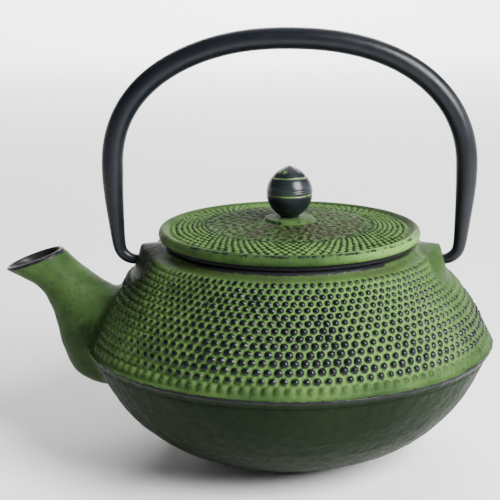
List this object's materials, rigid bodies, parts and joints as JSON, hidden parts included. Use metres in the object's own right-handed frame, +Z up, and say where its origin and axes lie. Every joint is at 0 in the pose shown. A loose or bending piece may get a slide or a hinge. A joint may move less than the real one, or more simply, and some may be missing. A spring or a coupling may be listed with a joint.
{
  "type": "cast iron teapot",
  "caption": "Squat round cast iron teapot with a hobnail shoulder, short spout, flat lid with a screwed-on knob, swinging bail and a mesh infuser.",
  "frame": {"origin": "on the pot's axis, at the middle of its flat base", "axes": "+Z up along the pot's axis, the spout points along -X, and the bail swings about an axis along X"},
  "size_m": [0.1968, 0.165, 0.1724],
  "materials": {
    "green_cast_iron": "satin green enamel over cast texture, rubbed dark on the raised edges",
    "black_knob": "polished black with green left in the turned grooves",
    "black_bail": "satin black lacquer",
    "stainless_steel": "brushed",
    "stainless_mesh": "fine woven mesh"
  },
  "bodies": {
    "pot": {"pot_body": "green_cast_iron"},
    "bail": {"bail_handle": "black_bail"},
    "lid": {"lid": "green_cast_iron", "lid_knob": "black_knob", "knob_screw": "stainless_steel", "knob_washer": "stainless_steel"},
    "infuser": {"infuser_rim": "stainless_steel", "infuser_wall": "stainless_mesh", "infuser_band": "stainless_steel", "infuser_bottom": "stainless_mesh"}
  },
  "joints": [
    {"name": "bail_swing", "type": "hinge", "parent": "pot", "child": "bail", "pos_m": [0, 0, 0.0798], "axis": [1, 0, 0], "range_deg": [-105, 105]},
    {"name": "lid_lift", "type": "slide", "parent": "pot", "child": "lid", "axis": [0, 0, 1], "range_m": [0, 0.044]},
    {"name": "infuser_turn", "type": "hinge", "parent": "pot", "child": "infuser", "pos_m": [0, 0, 0.085], "axis": [0, 0, 1], "continuous": true}
  ]
}
